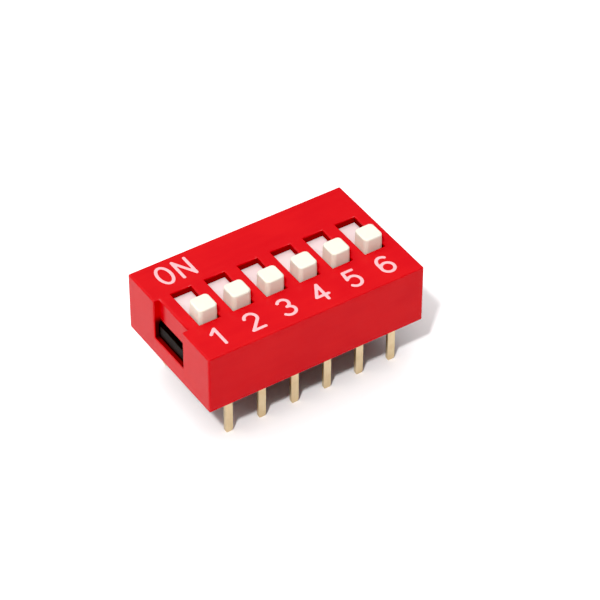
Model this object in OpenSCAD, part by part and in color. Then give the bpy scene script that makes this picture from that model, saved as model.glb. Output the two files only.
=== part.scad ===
// Slide DIP switch: a row of miniature on-off switches in one moulded case, for a printed circuit board.
// A latched cover closes over a base with moulded-in terminals, and each actuator carries a bowed contact
// that bridges the two terminals of its switch when it is ON.
// Origin: middle of the pin grid, on the plane where the cover's rim meets the board.
// +X runs from switch 1 to the last one, +Y from OFF to ON, +Z up. Sizes are in millimetres.
// It is drawn with every switch OFF, so that the knobs stand at the front (-Y) ends of their slots.

/* [Bank] */
// Number of switches
positions = 6; // [2:1:12]
// Distance between neighbouring switches, and between the pins of a row
pitch = 2.54; // [2.3:0.01:3.2]
// Distance between the two rows of pins
row_spacing = 7.62; // [7:0.01:9]
// Slide of an actuator from OFF to ON
travel = 2; // [1.5:0.1:2.5]

/* [Cover] */
// Thickness of the roof that the knobs come through
roof_t = 0.5; // [0.35:0.05:0.8]
// Thickness of the two long walls
side_t = 0.75; // [0.6:0.05:1.2]
// Radius of the two long top edges
top_r = 0.12; // [0.05:0.01:0.4]

/* [Cover ends] */
// Width of the latch window in each end, and of the recess that marks the end of switch 1
recess_w = 3.48; // [2:0.02:5]
// Depth of the recess
recess_d = 0.43; // [0.3:0.01:0.7]
// Wall left behind the recess
web_t = 0.62; // [0.5:0.01:0.9]
// Thickness of the plain wall at the other end
end_t = 0.69; // [0.62:0.01:1.1]
// Height of the windows' and the recess's sill above the board
sill_h = 1.42; // [1:0.02:1.8]
// Height of the latch windows above the sill
window_h = 1.43; // [1:0.01:1.8]

/* [Base] */
// Height of the base's underside above the board
base_lift = 0.25; // [0.1:0.05:0.5]
// Thickness of the base up to the contact pads
floor_t = 1.75; // [1.2:0.05:2.2]
// Height of the slide guides above the pads
guide_h = 1.25; // [1:0.05:1.6]
// Thickness of the ribs between neighbouring actuators
rib_t = 0.5; // [0.3:0.05:0.7]
// Plastic outside a row of pins, from the pins' middle
base_edge = 0.34; // [0.25:0.01:0.8]
// Diameter of the moulding holes under the pads
core_d = 0.9; // [0.5:0.1:1.2]
// Distance of a latch's nose behind the end face
latch_inset = 0.28; // [0.2:0.01:0.32]
// Overlap of a latch's nose on the band below its window
latch_catch = 0.29; // [0.15:0.01:0.3]
// Height of the upright front of a latch's nose
latch_land = 1.05; // [0.1:0.05:1.1]

/* [Actuators] */
// Width of a knob at its root
knob_w = 1.46; // [0.9:0.02:1.5]
// Length of a knob at its root
knob_l = 1.48; // [1:0.02:1.8]
// Height of a knob above the roof
knob_h = 1; // [0.5:0.02:2]
// Lean of a knob's four sides, in degrees
knob_draft = 1; // [0:0.5:5]
// Radius of a knob's upright edges
knob_r = 0.3; // [0.15:0.01:0.4]
// Radius of the edge round a knob's top
crown_r = 0.12; // [0.05:0.01:0.15]
// Thickness of the plate that closes the slot from inside
plate_t = 0.7; // [0.4:0.05:1]
// Overlap of the plate past the ends of the slot
plate_lap = 0.2; // [0.1:0.05:0.5]
// Wall of the stem round its contact
stem_wall = 0.2; // [0.15:0.01:0.3]

/* [Terminals] */
// Width of a pin
pin_w = 0.58; // [0.5:0.02:0.7]
// Thickness of the terminal strip
pin_t = 0.25; // [0.2:0.01:0.35]
// Length of a pin below the cover's rim
pin_l = 3.5; // [2.5:0.01:4.5]
// Width of a pin's tip
tip_w = 0.42; // [0.2:0.02:0.48]
// Length of the taper at a pin's tip
tip_l = 0.2; // [0.1:0.05:0.8]
// Width of a contact pad
pad_w = 1.2; // [0.9:0.05:1.6]
// Height of the wide shank below a pad
shank_h = 0.8; // [0.5:0.05:1]
// Radius of the bend from pin to pad, at mid thickness
bend_r = 0.3; // [0.2:0.05:0.5]
// Insulating gap between the two pads of a switch
pad_gap = 1; // [0.6:0.05:1.4]

/* [Bridge contacts] */
// Width of a contact
contact_w = 0.8; // [0.6:0.05:1]
// Thickness of its spring strip
contact_t = 0.12; // [0.08:0.01:0.16]
// Height from the feet to the crown
contact_h = 0.8; // [0.6:0.05:1]
// Bend radius of its feet, at mid thickness
foot_r = 0.22; // [0.15:0.01:0.3]
// Half the angle that a foot bends through, in degrees
foot_bend = 45; // [35:1:50]
// Distance of each foot from the end of the long pad, at OFF and at ON
foot_margin = 0.2; // [0.1:0.05:0.4]
// Length of the turned-up tails outside the feet
tail_l = 0.24; // [0.2:0.01:0.4]
// Length of the flat crown
crown_l = 0.7; // [0.4:0.05:1]

/* [Clearances] */
// Play of the knobs in their slots, and of the plates over and under
slide_gap = 0.05; // [0.03:0.01:0.08]
// Play beside the plates and stems
guide_gap = 0.07; // [0.04:0.01:0.1]
// Play between base and cover
cover_gap = 0.05; // [0.03:0.01:0.08]
// Play between the latches and the edges of their windows
latch_gap = 0.03; // [0.02:0.01:0.06]
// Play between a contact and what it bears on
contact_gap = 0.03; // [0.02:0.01:0.05]
// Play of a contact in its pocket, each side
pocket_gap = 0.05; // [0.03:0.01:0.08]
// Shrinkage gap round the moulded-in terminals
insert_gap = 0.01; // [0.01:0.005:0.02]

/* [Hidden] */
// Slots, plates and stems
slot_w = knob_w + 2 * slide_gap;
slot_l = knob_l + travel + 2 * slide_gap;
plate_w = pitch - rib_t - 2 * guide_gap;
plate_l = slot_l + travel + 2 * plate_lap;
contact_span = travel + 2 * foot_margin;
pocket_w = contact_w + 2 * pocket_gap;
pocket_l = contact_span + 2 * (tail_l + contact_t + pocket_gap);
stem_w = pocket_w + 2 * stem_wall;
stem_l = pocket_l + 2 * stem_wall;
channel_w = stem_w + 2 * guide_gap;
channel_l = stem_l + travel + 2 * slide_gap;

// Heights, from the board up
pad_z = base_lift + floor_t;
deck_z = pad_z + guide_h;
plate_z = deck_z + slide_gap;
plate_top_z = plate_z + plate_t;
ceiling_z = plate_top_z + slide_gap;
cover_h = ceiling_z + roof_t;
knob_top_z = cover_h + knob_h;
stem_z = pad_z + slide_gap;
pocket_z = pad_z + contact_h + 2 * contact_gap;
window_top_z = sill_h + window_h;

// Lengths along the bank and widths across it
cavity_l = pitch * (positions - 1) + plate_w + 2 * guide_gap;
cavity_w = 2 * max(row_spacing / 2 + base_edge + cover_gap, (plate_l + travel) / 2 + guide_gap);
cover_w = cavity_w + 2 * side_t;
base_l = cavity_l - 2 * cover_gap;
base_w = cavity_w - 2 * cover_gap;

// Distances of the end faces at switch 1 and at the last switch from the middle of the pin grid
index_x = cavity_l / 2 + web_t + recess_d;
plain_x = cavity_l / 2 + end_t;

// Inner ends of the front and rear pads, each counted from the middle towards its own row
front_reach = 0;
rear_reach = pad_gap;
core_y = (pad_gap + row_spacing / 2) / 2;
off_y = -travel / 2;

// Overrun of cutting solids past the faces that they cut, and segments of the bends and of the knobs' edges
cut = 1;
bend_steps = 6;
knob_fn = 20;
$fn = 48;

function switch_x(i) = (i - (positions + 1) / 2) * pitch;

// The other half of a symmetrical outline or path, back from its last point to its first
function mirrored(points) = [for (i = [len(points) - 1 : -1 : 0]) [-points[i][0], points[i][1]]];

// Outline of a strip of thickness t bent along a path, with mitred corners
function direction(path, i) = (path[i + 1] - path[i]) / norm(path[i + 1] - path[i]);
function left_of(v) = [-v[1], v[0]];
function edge_point(path, i, h) = let (
        last = len(path) - 2,
        a = left_of(direction(path, max(i - 1, 0))),
        b = left_of(direction(path, min(i, last)))
    ) path[i] + h * (a + b) / (1 + a * b);
function strip(path, t) = concat(
    [for (i = [0 : len(path) - 1]) edge_point(path, i, t / 2)],
    [for (i = [len(path) - 1 : -1 : 0]) edge_point(path, i, -t / 2)]
);
function arc(centre, r, from, to) = [
    for (k = [0 : bend_steps])
        let (a = from + (to - from) * k / bend_steps) centre + r * [cos(a), sin(a)]
];

// A section drawn as (Y, Z) and run along X, or drawn as (X, Z) and run along Y
module along_x(length) rotate([90, 0, 90]) linear_extrude(length, center = true) children();
module along_y(length) rotate([90, 0, 0]) linear_extrude(length, center = true) children();

// A block centred on the Z axis, from one height to another
module block(w, l, z0, z1) translate([-w / 2, -l / 2, z0]) cube([w, l, z1 - z0]);

module at_switch(i) translate([switch_x(i), 0, 0]) children();
module at_slider(i) translate([switch_x(i), off_y, 0]) children();

module cover_section() {
    translate([-cover_w / 2, 0]) square([cover_w, cover_h - top_r]);
    translate([top_r - cover_w / 2, 0]) square([cover_w - 2 * top_r, cover_h]);
    for (side = [-1, 1]) translate([side * (cover_w / 2 - top_r), cover_h - top_r]) circle(top_r);
}

// A window through an end wall, and the groove that lets the latch up to it
module latch_window(end_x) {
    inner_x = cavity_l / 2 - cut;
    groove_x = end_x - latch_inset - latch_catch;
    translate([inner_x, -recess_w / 2, sill_h]) cube([end_x + cut - inner_x, recess_w, window_h]);
    translate([inner_x, -recess_w / 2, -cut]) cube([groove_x - inner_x, recess_w, window_top_z + cut]);
}

// The recess over the window at the end of switch 1, which shows how the switch is turned
module index_recess()
    translate([-index_x - cut, -recess_w / 2, sill_h]) cube([recess_d + cut, recess_w, cover_h]);

module cover() color("#e3161b") difference() {
    translate([(plain_x - index_x) / 2, 0, 0]) along_x(plain_x + index_x) cover_section();
    block(cavity_l, cavity_w, -cut, ceiling_z);
    for (i = [1 : positions]) at_switch(i) block(slot_w, slot_l, ceiling_z - cut, cover_h + cut);
    latch_window(plain_x);
    rotate(180) latch_window(index_x);
    index_recess();
}

module latch(end_x) {
    low = sill_h + latch_gap;
    high = window_top_z - latch_gap;
    root_x = base_l / 2 - cover_gap;
    nose_x = end_x - latch_inset;
    along_y(recess_w - 2 * cover_gap) polygon([
        [root_x, low],
        [nose_x, low],
        [nose_x, low + latch_land],
        [nose_x - latch_catch - cover_gap, high],
        [root_x, high]
    ]);
}

// Room for one switch: its slide channel, both terminals, and the holes that held the pads in the mould
module switch_cuts() {
    block(channel_w, channel_l, pad_z, deck_z + cut);
    terminal(front_reach, insert_gap);
    mirror([0, 1, 0]) terminal(rear_reach, insert_gap);
    for (side = [-1, 1])
        translate([0, side * core_y, base_lift - cut]) cylinder(d = core_d, h = floor_t - pin_t + cut);
}

module base() color("#1d1e20") difference() {
    union() {
        block(base_l, base_w, base_lift, deck_z);
        for (i = [1 : positions - 1])
            translate([switch_x(i) + pitch / 2, 0, 0]) block(rib_t, base_w, pad_z, ceiling_z - cover_gap);
        latch(plain_x);
        rotate(180) latch(index_x);
    }
    for (i = [1 : positions]) at_switch(i) switch_cuts();
}

// Side view of the bent strip, from the pin's tip up and in to the pad's end
function terminal_path(reach) = concat(
    [[-row_spacing / 2, -pin_l]],
    arc([bend_r - row_spacing / 2, pad_z - pin_t / 2 - bend_r], bend_r, 180, 90),
    [[-reach, pad_z - pin_t / 2]]
);

// Front view of the blank: tapered tip, pin, and the wide shank that becomes the pad
module terminal_blank(grow) {
    shank_z = pad_z - pin_t - shank_h - grow;
    half_outline = [
        [tip_w / 2 + grow, -pin_l],
        [pin_w / 2 + grow, tip_l - pin_l],
        [pin_w / 2 + grow, shank_z],
        [pad_w / 2 + grow, shank_z],
        [pad_w / 2 + grow, pad_z + cut]
    ];
    polygon(concat(half_outline, mirrored(half_outline)));
}

module terminal(reach, grow = 0) intersection() {
    along_x(pad_w + 2 * grow) polygon(strip(terminal_path(reach - grow), pin_t + 2 * grow));
    along_y(row_spacing + pin_t + cut) terminal_blank(grow);
}

module front_terminal(i) color("#d8c08a") at_switch(i) terminal(front_reach);

module rear_terminal(i) color("#d8c08a") at_switch(i) mirror([0, 1, 0]) terminal(rear_reach);

module knob() {
    lean = (knob_top_z - plate_top_z) * tan(knob_draft);
    root_x = knob_w / 2 - knob_r;
    root_y = knob_l / 2 - knob_r;
    hull() {
        for (x = [-1, 1], y = [-1, 1]) {
            translate([x * root_x, y * root_y, plate_z]) cylinder(r = knob_r, h = plate_t, $fn = knob_fn);
            translate([x * (root_x - lean), y * (root_y - lean), knob_top_z - crown_r])
                rotate_extrude($fn = knob_fn) translate([knob_r - crown_r, 0]) circle(crown_r);
        }
    }
}

module actuator(i) color("#f6f3e4") at_slider(i) difference() {
    union() {
        block(plate_w, plate_l, plate_z, plate_top_z);
        block(stem_w, stem_l, stem_z, plate_top_z);
        knob();
    }
    block(pocket_w, pocket_l, stem_z - cut, pocket_z);
}

// Half of the bowed strip, from its turned-up tail over the foot to the crown
function half_contact_path() = let (
        foot = [-contact_span / 2, pad_z + contact_gap + contact_t / 2 + foot_r],
        crown = [-crown_l / 2, pad_z + contact_gap + contact_h - contact_t / 2]
    ) concat([foot - [tail_l, 0]], arc(foot, foot_r, 270 - foot_bend, 270 + foot_bend), [crown]);

module bridge_contact(i) color("#d9bd7c") at_slider(i) {
    half = half_contact_path();
    along_x(contact_w) polygon(strip(concat(half, mirrored(half)), contact_t));
}

cover();
base();
for (i = [1 : positions]) {
    front_terminal(i);
    rear_terminal(i);
    actuator(i);
    bridge_contact(i);
}
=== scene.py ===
"""Looks of a slide DIP switch: a glossy red moulded cover with white printing, cream slides, a black base
that shows in the end windows, and pale gold terminals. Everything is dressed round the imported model."""

import math

import bmesh
import bpy
from mathutils import Matrix, Vector


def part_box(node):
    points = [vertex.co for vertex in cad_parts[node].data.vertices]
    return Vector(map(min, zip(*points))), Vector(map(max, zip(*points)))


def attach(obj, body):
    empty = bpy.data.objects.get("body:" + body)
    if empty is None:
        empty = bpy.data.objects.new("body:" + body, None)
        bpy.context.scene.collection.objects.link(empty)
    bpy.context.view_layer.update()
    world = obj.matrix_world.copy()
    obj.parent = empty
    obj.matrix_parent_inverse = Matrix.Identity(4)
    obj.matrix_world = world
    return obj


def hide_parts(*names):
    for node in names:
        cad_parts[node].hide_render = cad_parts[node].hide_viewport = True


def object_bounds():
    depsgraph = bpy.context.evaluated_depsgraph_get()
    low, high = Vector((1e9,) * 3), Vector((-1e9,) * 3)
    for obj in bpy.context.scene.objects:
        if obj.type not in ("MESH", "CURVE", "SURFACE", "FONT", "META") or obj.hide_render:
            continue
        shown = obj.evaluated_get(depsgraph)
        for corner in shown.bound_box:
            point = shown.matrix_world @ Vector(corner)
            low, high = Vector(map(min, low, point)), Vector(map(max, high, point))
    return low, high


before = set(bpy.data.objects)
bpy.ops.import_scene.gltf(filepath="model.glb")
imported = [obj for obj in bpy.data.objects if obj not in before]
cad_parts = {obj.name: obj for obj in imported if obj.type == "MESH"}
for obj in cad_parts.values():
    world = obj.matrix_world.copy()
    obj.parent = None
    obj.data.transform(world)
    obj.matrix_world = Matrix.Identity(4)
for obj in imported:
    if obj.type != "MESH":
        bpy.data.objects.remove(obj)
cad_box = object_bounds()

MM = 0.001
SWITCHES = range(1, 1 + sum(name.startswith("actuator_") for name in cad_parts))

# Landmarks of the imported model, in metres
COVER_LOW, COVER_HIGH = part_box("cover")
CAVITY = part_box("base")[1].y
LATCH_DEPTH = 0.4 * MM
LATCH_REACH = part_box("base")[1].x - LATCH_DEPTH
SLOT_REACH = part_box(f"actuator_{SWITCHES[-1]}")[1].x
FLOOR_Z = cad_box[0].z

# Radii of the moulded and stamped edges, in metres
END_EDGE = 0.11 * MM
RIM_EDGE = 0.11 * MM
RECESS_TOP_EDGE = 0.16 * MM
RECESS_SIDE_EDGE = 0.10 * MM
WINDOW_EDGE = 0.05 * MM
SLOT_EDGE = 0.06 * MM
LATCH_EDGE = 0.05 * MM
PIN_EDGE = 0.03 * MM
CONTACT_EDGE = 0.015 * MM

# The window that shows a latch, and the recess above it, in millimetres
WINDOW_SIDE = 1.74
WINDOW_SILL = 1.42
WINDOW_TOP = 2.85

# Where the cover is rough as it left the mould, and its red is darkened as painted shade: how far that
# reaches past the space inside, how far it stays below the roof, and how softly it ends, in millimetres
INSIDE_MARGIN = 0.1
INSIDE_FADE = 0.02
ROOF_SKIN = 0.08
ROOF_FADE = 0.1

# Where the end walls are matt and painted dark as shade, round the latch windows, in millimetres: a pair
# gives the distances from a face or from an edge of the window at which that begins and at which it is
# full
END_WALL = 0.4
END_FADE = 0.1
BEHIND_END = (0.03, 0.10)
OPENING_SIDE = (0.04, 0.02)
OPENING_FOOT = (-0.06, -0.03)
CORNER_BREADTH = (-0.9, -0.1)
CORNER_HEIGHT = (0.45, -0.3)
SILL_HEIGHT = (0.06, 0.03)
SILL_SHARE = 0.8

# The slides' plates, painted darker and pinker as shade and red bounce light: how far below the roof they
# begin, and the width of their change, in millimetres
PLATE_DROP = 0.4
PLATE_FADE = 0.08

# Colours: pairs are the two ends of a slight change over a surface
RED = (0.543, 0.016, 0.020, 1), (0.579, 0.018, 0.021, 1)
# Painted shade: a darker red for the walls of the slots and the inside of the cover
RED_INSIDE_SHADE = (0.303, 0.005, 0.007, 1)
# Painted shade: a near-black red for the corners and sills of the latch windows
RED_PAINTED_SHADE = (0.08, 0.002, 0.003, 1)
INK = (0.783, 0.445, 0.463, 1), (0.748, 0.320, 0.347, 1)
CREAM = (0.743, 0.725, 0.616, 1), (0.761, 0.752, 0.651, 1)
# Painted shade and painted red bounce light for the plates seen through the slots
CREAM_PLATE_SHADE = (0.703, 0.570, 0.570, 1)
BLACK = (0.007, 0.006, 0.005, 1), (0.012, 0.010, 0.009, 1)
PALE_GOLD = (0.731, 0.611, 0.404, 1), (0.645, 0.507, 0.301, 1)
CONTACT_GOLD = (0.85, 0.66, 0.36, 1), (0.74, 0.54, 0.26, 1)
PAPER = (0.97, 0.965, 0.97, 1), (0.99, 0.985, 0.985, 1)

# Printing on the roof, in millimetres: sizes are those of the outer edge of the ink, places its middle's
STROKE = 0.24
INK_RISE = 0.012
INK_SEAT = 0.004
INK_GRAIN = 0.03
INK_SMOOTHING = 0.5
PEN_DETAIL = 3
DIGIT_SIZE = (1.15, 1.77)
DIGIT_X = -0.26
DIGIT_Y = -3.35
LETTER_SIZE = (1.18, 1.88)
LETTER_Y = 3.51
LETTER_X = {"O": -6.50, "N": -5.03}

# Camera of the photograph, with the aim point and distance in millimetres
PHOTO_SIDE = 600
FOCAL_PIXELS = 2978.0
VIEW_AZIMUTH = math.radians(-33.28)
VIEW_ELEVATION = math.radians(41.45)
VIEW_ROLL = math.radians(0.16)
VIEW_DISTANCE = 196.23
VIEW_AIM = (1.741, 0.108, 1.0)
CLIP_START = 10

# Studio: one lamp from the front left, and a surround that is brightest nearly overhead
LAMP_AZIMUTH = math.radians(-50)
LAMP_ELEVATION = math.radians(54)
LAMP_STRENGTH = 2.02
LAMP_ANGLE = math.radians(4)
SURROUND_AXIS = (-0.18, 0.16, 0.97)
SURROUND_EDGE = (0.55, 0.98)
SURROUND_DIM = (0.17, 0.17, 0.17, 1)
SURROUND_BRIGHT = (2.08, 2.08, 2.08, 1)
FLOOR_SIDE = 4.0

# Contrast of the camera: light below this level shows as black
BLACK_LEVEL = 0.020

# Angles that tell flat and sharp meetings of faces apart, and the distance within which points are one
FLAT = math.radians(0.2)
SHARP = math.radians(40)
WELD = 1e-7

# Numbers of the Mix node's sockets for colours
MIX_FACTOR = 0
MIX_FIRST = 6
MIX_SECOND = 7
MIX_RESULT = 2


class Shade:
    """A value in a material's nodes: arithmetic on it adds Math nodes."""

    def __init__(self, tree, socket=None):
        self.tree = tree
        self.socket = socket

    def node(self, kind, settings=None, sockets=None, output=0):
        made = self.tree.nodes.new("ShaderNode" + kind)
        for name, value in (settings or {}).items():
            setattr(made, name, value)
        for name, value in (sockets or {}).items():
            if isinstance(value, Shade):
                self.tree.links.new(value.socket, made.inputs[name])
            else:
                made.inputs[name].default_value = value
        return Shade(self.tree, made.outputs[output] if made.outputs else None)

    def math(self, operation, *values):
        return self.node("Math", {"operation": operation}, dict(enumerate(values)))

    def __add__(self, other):
        return self.math("ADD", self, other)

    def __sub__(self, other):
        return self.math("SUBTRACT", self, other)

    def __mul__(self, other):
        return self.math("MULTIPLY", self, other)

    def __radd__(self, other):
        return self.math("ADD", other, self)

    def __rsub__(self, other):
        return self.math("SUBTRACT", other, self)

    def __rmul__(self, other):
        return self.math("MULTIPLY", other, self)

    def __abs__(self):
        return self.math("ABSOLUTE", self)

    def or_more(self, other):
        return self.math("MAXIMUM", self, other)

    def step(self, low, high):
        """0 on the side of low and 1 on the side of high, with a soft change between them."""
        settings = {"interpolation_type": "SMOOTHSTEP"}
        return self.node("MapRange", settings, {"Value": self, "From Min": low, "From Max": high})

    def blend(self, first, second):
        """The first colour where this value is 0, and the second where it is 1."""
        settings = {"data_type": "RGBA", "clamp_factor": True}
        sockets = {MIX_FACTOR: self, MIX_FIRST: first, MIX_SECOND: second}
        return self.node("Mix", settings, sockets, MIX_RESULT)

    def noise(self, scale, detail=2.0, roughness=0.5):
        sockets = {"Vector": self, "Scale": scale, "Detail": detail, "Roughness": roughness}
        return self.node("TexNoise", None, sockets)

    def stretched(self, scale):
        """These coordinates, with each axis squeezed by its own factor."""
        return self.node("VectorMath", {"operation": "MULTIPLY"}, {0: self, 1: scale})

    def axes(self):
        """These coordinates, one by one."""
        return [self.node("SeparateXYZ", None, {0: self}, axis) for axis in "XYZ"]

    def bump(self, height):
        """A normal from a height in millimetres."""
        return self.node("Bump", None, {"Height": self, "Strength": 1.0, "Distance": height * MM})

    def surface(self, **sockets):
        """A Principled surface, with the names of its sockets written as keywords."""
        named = {name.replace("_", " "): value for name, value in sockets.items()}
        return self.node("BsdfPrincipled", None, named)


def material(name, dress):
    """A material whose surface dress() makes from Object coordinates in millimetres."""
    made = bpy.data.materials.new(name)
    made.use_nodes = True
    made.node_tree.nodes.clear()
    start = Shade(made.node_tree)
    place = start.node("TexCoord", output="Object")
    place = place.node("VectorMath", {"operation": "SCALE"}, {0: place, "Scale": 1 / MM})
    start.node("OutputMaterial", None, {"Surface": dress(place)})
    return made


def inside_cover(place):
    """1 in the slots and inside the cover, where the red is rough and darkened as painted shade."""
    x, y, z = place.axes()
    length = (SLOT_REACH / MM + INSIDE_MARGIN - abs(x)).step(0, INSIDE_FADE)
    width = (CAVITY / MM + INSIDE_MARGIN - abs(y)).step(0, INSIDE_FADE)
    return length * width * (COVER_HIGH.z / MM - ROOF_SKIN - z).step(0, ROOF_FADE)


def window_shade_mask(place):
    """1 in the corners of the latch windows, and nearly so on their sills: where shade is painted and the
    red is matt.
    """
    x, y, z = place.axes()
    low = COVER_LOW.x / MM
    high = COVER_HIGH.x / MM
    beside = abs(y) - WINDOW_SIDE
    raised = z - WINDOW_SILL
    sunk = (x - low).step(*BEHIND_END) * (high - x).step(*BEHIND_END)
    sunk = sunk * (abs(x) - high + END_WALL).step(0, END_FADE)
    sunk = sunk * beside.step(*OPENING_SIDE) * raised.step(*OPENING_FOOT)
    corner = beside.step(*CORNER_BREADTH) * (z - WINDOW_TOP).step(*CORNER_HEIGHT)
    return sunk * corner.or_more(SILL_SHARE * raised.step(*SILL_HEIGHT))


def red_plastic(place):
    """Glossy outside; rough as it left the mould and darker with painted shade inside; matt and painted
    dark as shade round the latch windows.
    """
    inside = inside_cover(place)
    window_shade_and_matt = window_shade_mask(place)
    cloud = place.noise(0.3, 3.0)
    flow = place.stretched((0.25, 1.6, 1.6)).noise(1.0, 4.0, 0.6)
    grain = place.noise(14.0, 2.0)
    colour = (0.6 * cloud + 0.4 * flow).step(0.35, 0.65).blend(*RED)
    # Painted shade darkens the red in the corners and on the sills of the latch windows
    colour = window_shade_and_matt.blend(colour, RED_PAINTED_SHADE)
    return place.surface(
        # Painted shade darkens the red in the slots and inside the cover
        Base_Color=inside.blend(colour, RED_INSIDE_SHADE),
        Roughness=0.10 + 0.08 * grain + 0.08 * flow + 0.6 * inside.or_more(window_shade_and_matt),
        IOR=1.17,
        Normal=(0.75 * grain + 2.0 * cloud).bump(0.0008),
    )


def white_ink(place):
    thin = place.noise(4.0, 3.0, 0.6).step(0.45, 0.75)
    grain = place.noise(22.0, 2.0)
    return place.surface(
        Base_Color=(0.5 * thin).blend(*INK),
        Roughness=0.45 + 0.2 * grain,
        IOR=1.40,
        Normal=grain.bump(0.002),
    )


def cream_plastic(place):
    """Cream on the knobs, and darker and pinker on the plates that close the slots from inside: painted
    shade and painted red bounce light.
    """
    height = place.axes()[2]
    plate = (COVER_HIGH.z / MM - PLATE_DROP - height).step(0, PLATE_FADE)
    cloud = place.noise(0.6, 3.0)
    grain = place.noise(16.0, 2.0)
    return place.surface(
        # Painted shade and painted red bounce light on the plates
        Base_Color=plate.blend(cloud.blend(*CREAM), CREAM_PLATE_SHADE),
        Roughness=0.38 + 0.14 * grain,
        IOR=1.45,
        Subsurface_Weight=0.15,
        Subsurface_Radius=(1.0, 0.7, 0.5),
        Subsurface_Scale=0.25 * MM,
        Normal=(0.6 * grain + cloud).bump(0.0015),
    )


def black_plastic(place):
    cloud = place.noise(0.8, 3.0)
    grain = place.noise(18.0, 2.0)
    return place.surface(
        Base_Color=cloud.blend(*BLACK),
        Roughness=0.42 + 0.2 * grain,
        IOR=1.20,
        Normal=(grain + cloud).bump(0.002),
    )


def plating(pale, deep):
    """Drawn and plated strip, with faint lines along the pins."""
    def dress(place):
        drawn = place.stretched((30.0, 30.0, 1.2)).noise(1.0, 3.0, 0.6)
        cloud = place.noise(1.2, 3.0)
        return place.surface(
            Base_Color=(0.6 * cloud + 0.4 * drawn).step(0.3, 0.7).blend(pale, deep),
            Metallic=1.0,
            Roughness=0.30 + 0.12 * drawn + 0.08 * cloud,
            Normal=(drawn + 0.5 * cloud).bump(0.0015),
        )
    return dress


def white_paper(place):
    fibre = place.noise(1.5, 4.0, 0.6)
    return place.surface(
        Base_Color=fibre.blend(*PAPER),
        Roughness=0.85 + 0.1 * fibre,
        Specular_IOR_Level=0.1,
    )


def clean_copy(node):
    """A copy of a CAD node's mesh, with its doubled points merged."""
    bm = bmesh.new()
    bm.from_mesh(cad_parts[node].data)
    bmesh.ops.remove_doubles(bm, verts=bm.verts, dist=WELD)
    return bm


def join_flat(bm):
    """Joins triangles into flat faces."""
    bmesh.ops.dissolve_limit(bm, angle_limit=FLAT, verts=bm.verts, edges=bm.edges)


def middle_of(edge):
    return (edge.verts[0].co + edge.verts[1].co) / 2


def is_sharp(edge):
    return edge.is_manifold and edge.calc_face_angle() > SHARP


def is_flat(edge):
    return edge.is_manifold and edge.calc_face_angle() < FLAT


def is_slanted(edge):
    heading = (edge.verts[1].co - edge.verts[0].co).normalized()
    return max(abs(part) for part in heading) < 1 - WELD


def is_corner(vert):
    return sum(is_sharp(edge) for edge in vert.link_edges) > 2


def is_on_roof(point):
    return point.z > COVER_HIGH.z - WELD


def side_of(face):
    """The axis and place of a face that is square to an axis, or None."""
    for axis in range(3):
        if abs(face.normal[axis]) > 1 - WELD:
            return axis, round(face.calc_center_median()[axis] / WELD)
    return None


def cut_side(bm, side, corners):
    """Cuts a flat side of the cover along both of its axes, through each of these corners."""
    for across in {0, 1, 2} - {side[0]}:
        normal = Vector((0, 0, 0))
        normal[across] = 1
        for cut in sorted({round(v.co[across] / WELD) for v in corners}):
            faces = [f for f in bm.faces if side_of(f) == side]
            geometry = faces + list({part for f in faces for part in (*f.edges, *f.verts)})
            bmesh.ops.bisect_plane(
                bm, geom=geometry, dist=WELD, plane_co=normal * cut * WELD, plane_no=normal)


def cut_square(bm):
    """Cuts each flat side of the cover through its own corners, so that rounded edges can run round its
    openings. The roof is cut through the slots' corners only, and is left whole past the outer slots."""
    bm.normal_update()
    sides = {}
    for face in bm.faces:
        sides.setdefault(side_of(face), []).append(face)
    sides.pop(None, None)
    roof = (2, round(COVER_HIGH.z / WELD))
    for side, faces in sides.items():
        corners = {v for f in faces for v in f.verts if is_corner(v)}
        if side == roof:
            corners = {v for v in corners if abs(v.co.x) < SLOT_REACH}
        has_openings = len(corners) > 4
        if has_openings:
            cut_side(bm, side, corners)
    bm.normal_update()
    slot_side = max(abs(v.co.x) for v in bm.verts if is_on_roof(v.co) and abs(v.co.x) < SLOT_REACH)
    spare = []
    for edge in filter(is_flat, bm.edges):
        middle = middle_of(edge)
        past_slots = is_on_roof(middle) and abs(middle.x) > slot_side - WELD
        if past_slots or is_slanted(edge):
            spare.append(edge)
    bmesh.ops.dissolve_edges(bm, edges=spare, use_verts=True)


def round_edges(bm, radius_of):
    """Marks each sharp outer edge with its radius, as a share of the largest, which is returned."""
    weight = bm.edges.layers.float.new("bevel_weight_edge")
    edges = [e for e in bm.edges if is_sharp(e) and e.is_convex]
    radii = [radius_of(e) for e in edges]
    largest = max(radii)
    for edge, radius in zip(edges, radii):
        edge[weight] = radius / largest
    return largest


def make_piece(bm, name, finish):
    """A smooth-shaded object at the origin, with its place in its mesh."""
    mesh = bpy.data.meshes.new(name)
    bm.to_mesh(mesh)
    bm.free()
    mesh.shade_smooth()
    mesh.set_sharp_from_angle(angle=SHARP)
    mesh.materials.append(finish)
    made = bpy.data.objects.new(name, mesh)
    bpy.context.scene.collection.objects.link(made)
    return made


def soften(piece, radius, segments):
    """Rounds the marked edges and keeps the flat faces flat in the light."""
    if radius:
        bevel = piece.modifiers.new("edges", "BEVEL")
        bevel.limit_method = "WEIGHT"
        bevel.width = radius
        bevel.segments = segments
    normals = piece.modifiers.new("normals", "WEIGHTED_NORMAL")
    normals.keep_sharp = True


def dress_node(node, name, body, finish, radius_of=None, segments=2, square=False):
    """Stands a rounded copy in the place of a CAD node."""
    bm = clean_copy(node)
    if square:
        cut_square(bm)
    else:
        join_flat(bm)
    radius = round_edges(bm, radius_of) if radius_of else 0
    piece = make_piece(bm, name, finish)
    soften(piece, radius, segments)
    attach(piece, body)
    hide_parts(node)


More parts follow.
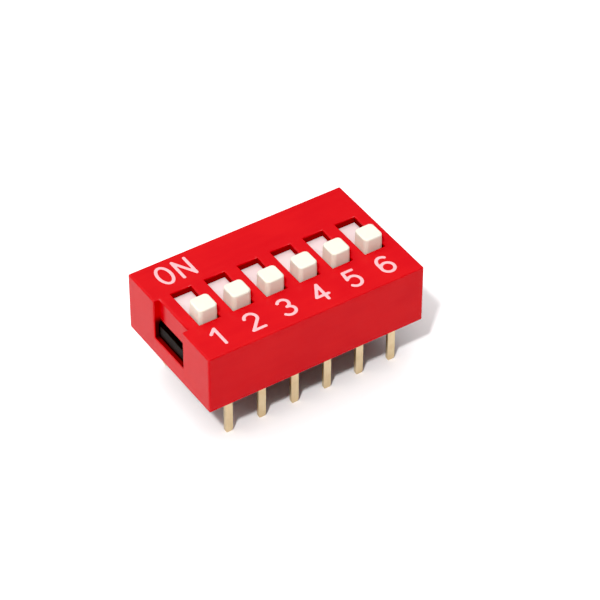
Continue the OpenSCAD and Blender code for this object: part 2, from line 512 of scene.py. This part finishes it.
def cover_radius(edge):
    middle = middle_of(edge)
    if is_on_roof(middle) and abs(middle.x) < SLOT_REACH:
        return SLOT_EDGE
    if middle.z < COVER_LOW.z + WELD:
        return RIM_EDGE
    if not COVER_LOW.x + WELD < middle.x < COVER_HIGH.x - WELD:
        return END_EDGE
    if is_on_roof(middle):
        across = abs(edge.verts[1].co.x - edge.verts[0].co.x) < WELD
        return RECESS_TOP_EDGE if across else RECESS_SIDE_EDGE
    return WINDOW_EDGE if abs(middle.x) > SLOT_REACH else 0


def latch_radius(edge):
    return LATCH_EDGE if abs(middle_of(edge).x) > LATCH_REACH else 0


def arc(centre, size, start, end, steps=14):
    """Points on an ellipse, from one angle in degrees to another."""
    angles = [math.radians(start + (end - start) * i / steps) for i in range(steps + 1)]
    return [(centre[0] + size[0] * math.cos(a), centre[1] + size[1] * math.sin(a)) for a in angles]


# Middle lines of the pen strokes, in a box from -1 to 1 each way
GLYPHS = {
    "O": [arc((0, 0), (1, 1), 90, 450, 40)],
    "N": [[(-1, -1), (-1, 1), (1, -1), (1, 1)]],
    "1": [[(-0.85, 0.48), (0.1, 1), (0.1, -1)]],
    "2": [arc((0, 0.42), (0.95, 0.58), 165, -30) + [(-0.95, -1), (1, -1)]],
    "3": [arc((-0.1, 0.5), (0.85, 0.5), 150, -80) + arc((-0.1, -0.48), (1, 0.52), 80, -150)],
    "4": [[(0.4, -1), (0.4, 1), (-1, -0.42), (1, -0.42)]],
    "5": [[(0.85, 1), (-0.68, 1), (-0.85, 0.08)] + arc((-0.02, -0.34), (1, 0.66), 125, -145)],
    "6": [arc((0.05, 0.28), (1.02, 0.72), 48, 180) + arc((0.02, -0.4), (0.99, 0.6), 180, 540, 32)],
}


def pen_strokes(lines):
    """A tube along each stretch of these lines, and a ball at each of their points, in millimetres."""
    curve = bpy.data.curves.new("pen", "CURVE")
    curve.dimensions = "3D"
    curve.bevel_depth = STROKE / 2
    curve.bevel_resolution = PEN_DETAIL
    curve.use_fill_caps = True
    for points in lines:
        for ends in zip(points, points[1:]):
            spline = curve.splines.new("POLY")
            spline.points.add(1)
            for point, place in zip(spline.points, ends):
                point.co = (*place, 0, 1)
    pen = bpy.data.objects.new("pen", curve)
    bpy.context.scene.collection.objects.link(pen)
    bm = bmesh.new()
    bm.from_mesh(pen.to_mesh())
    for points in lines:
        for place in points:
            matrix = Matrix.Translation((*place, 0))
            bmesh.ops.create_icosphere(bm, subdivisions=PEN_DETAIL, radius=STROKE / 2, matrix=matrix)
    bpy.data.objects.remove(pen)
    bpy.data.curves.remove(curve)
    return bm


def merged(film):
    """The upper half of a film's strokes as one smooth skin, closed below."""
    merge = film.modifiers.new("merge", "REMESH")
    merge.mode = "VOXEL"
    merge.voxel_size = INK_GRAIN
    bm = bmesh.new()
    bm.from_object(film, bpy.context.evaluated_depsgraph_get())
    film.modifiers.remove(merge)
    each_way = {"use_axis_x": True, "use_axis_y": True, "use_axis_z": True}
    bmesh.ops.smooth_vert(bm, verts=bm.verts, factor=INK_SMOOTHING, **each_way)
    geometry = bm.verts[:] + bm.edges[:] + bm.faces[:]
    bmesh.ops.bisect_plane(bm, geom=geometry, plane_co=(0, 0, 0), plane_no=(0, 0, 1), clear_inner=True)
    bmesh.ops.holes_fill(bm, edges=[e for e in bm.edges if e.is_boundary])
    return bm


def print_glyph(glyph, size, x, y, finish):
    """One printed sign: pen strokes merged into one flat film on the roof."""
    half = [(side - STROKE) / 2 for side in size]
    lines = [[(u * half[0], v * half[1]) for u, v in points] for points in GLYPHS[glyph]]
    film = make_piece(pen_strokes(lines), "printed_" + glyph, finish)
    bm = merged(film)
    flatten = Matrix.Diagonal((1, 1, (INK_RISE + INK_SEAT) / (STROKE / 2), 1))
    seat = Matrix.Translation((x, y, COVER_HIGH.z / MM - INK_SEAT))
    bm.transform(Matrix.Scale(MM, 4) @ seat @ flatten)
    bm.to_mesh(film.data)
    bm.free()
    film.data.shade_smooth()
    film.data.set_sharp_from_angle(angle=SHARP)
    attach(film, "housing")


def make_switch():
    red = material("red moulding", red_plastic)
    cream = material("cream moulding", cream_plastic)
    black = material("black moulding", black_plastic)
    ink = material("white ink", white_ink)
    pale_gold = material("pale gold plating", plating(*PALE_GOLD))
    contact_gold = material("contact plating", plating(*CONTACT_GOLD))
    dress_node("cover", "cover_moulded", "housing", red, cover_radius, 3, square=True)
    dress_node("base", "base_moulded", "housing", black, latch_radius)
    for i in SWITCHES:
        low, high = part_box(f"actuator_{i}")
        middle = (low.x + high.x) / 2 / MM
        dress_node(f"actuator_{i}", f"slide_{i}", f"slider_{i}", cream)
        dress_node(f"bridge_contact_{i}", f"spring_{i}", f"slider_{i}", contact_gold,
                   lambda edge: CONTACT_EDGE)
        for row in ("front", "rear"):
            dress_node(f"{row}_terminal_{i}", f"{row}_pin_{i}", "housing", pale_gold,
                       lambda edge: PIN_EDGE)
        print_glyph(str(i), DIGIT_SIZE, middle + DIGIT_X, DIGIT_Y, ink)
    for letter, x in LETTER_X.items():
        print_glyph(letter, LETTER_SIZE, x, LETTER_Y, ink)


def make_floor():
    bm = bmesh.new()
    bmesh.ops.create_grid(bm, x_segments=1, y_segments=1, size=FLOOR_SIDE / 2)
    bmesh.ops.translate(bm, verts=bm.verts, vec=(0, 0, FLOOR_Z))
    make_piece(bm, "floor", material("white paper", white_paper))


def make_lights():
    world = bpy.data.worlds.new("surround")
    world.use_nodes = True
    world.node_tree.nodes.clear()
    start = Shade(world.node_tree)
    heading = start.node("TexCoord", output="Generated")
    sockets = {0: heading, 1: SURROUND_AXIS}
    nearness = heading.node("VectorMath", {"operation": "DOT_PRODUCT"}, sockets, "Value")
    light = nearness.step(*SURROUND_EDGE).blend(SURROUND_DIM, SURROUND_BRIGHT)
    start.node("OutputWorld", None, {"Surface": start.node("Background", None, {"Color": light})})
    bpy.context.scene.world = world
    lamp = bpy.data.lights.new("lamp", "SUN")
    lamp.energy = LAMP_STRENGTH
    lamp.angle = LAMP_ANGLE
    stand = bpy.data.objects.new("lamp", lamp)
    stand.rotation_euler = (math.pi / 2 - LAMP_ELEVATION, 0, LAMP_AZIMUTH)
    bpy.context.scene.collection.objects.link(stand)


def make_camera():
    lens = bpy.data.cameras.new("camera")
    lens.lens = FOCAL_PIXELS / PHOTO_SIDE * lens.sensor_width
    lens.clip_start = CLIP_START * MM
    camera = bpy.data.objects.new("camera", lens)
    turn = Matrix.Rotation(VIEW_AZIMUTH, 4, "Z") @ Matrix.Rotation(math.pi / 2 - VIEW_ELEVATION, 4, "X")
    turn = turn @ Matrix.Rotation(VIEW_ROLL, 4, "Z")
    back = turn @ Vector((0, 0, VIEW_DISTANCE * MM))
    camera.matrix_world = Matrix.Translation(Vector(VIEW_AIM) * MM + back) @ turn
    bpy.context.scene.collection.objects.link(camera)
    bpy.context.scene.camera = camera


def set_contrast():
    view = bpy.context.scene.view_settings
    view.view_transform = "Standard"
    view.use_curve_mapping = True
    view.curve_mapping.black_level = (BLACK_LEVEL, BLACK_LEVEL, BLACK_LEVEL)
    view.curve_mapping.update()


make_switch()
make_floor()
make_lights()
make_camera()
set_contrast()
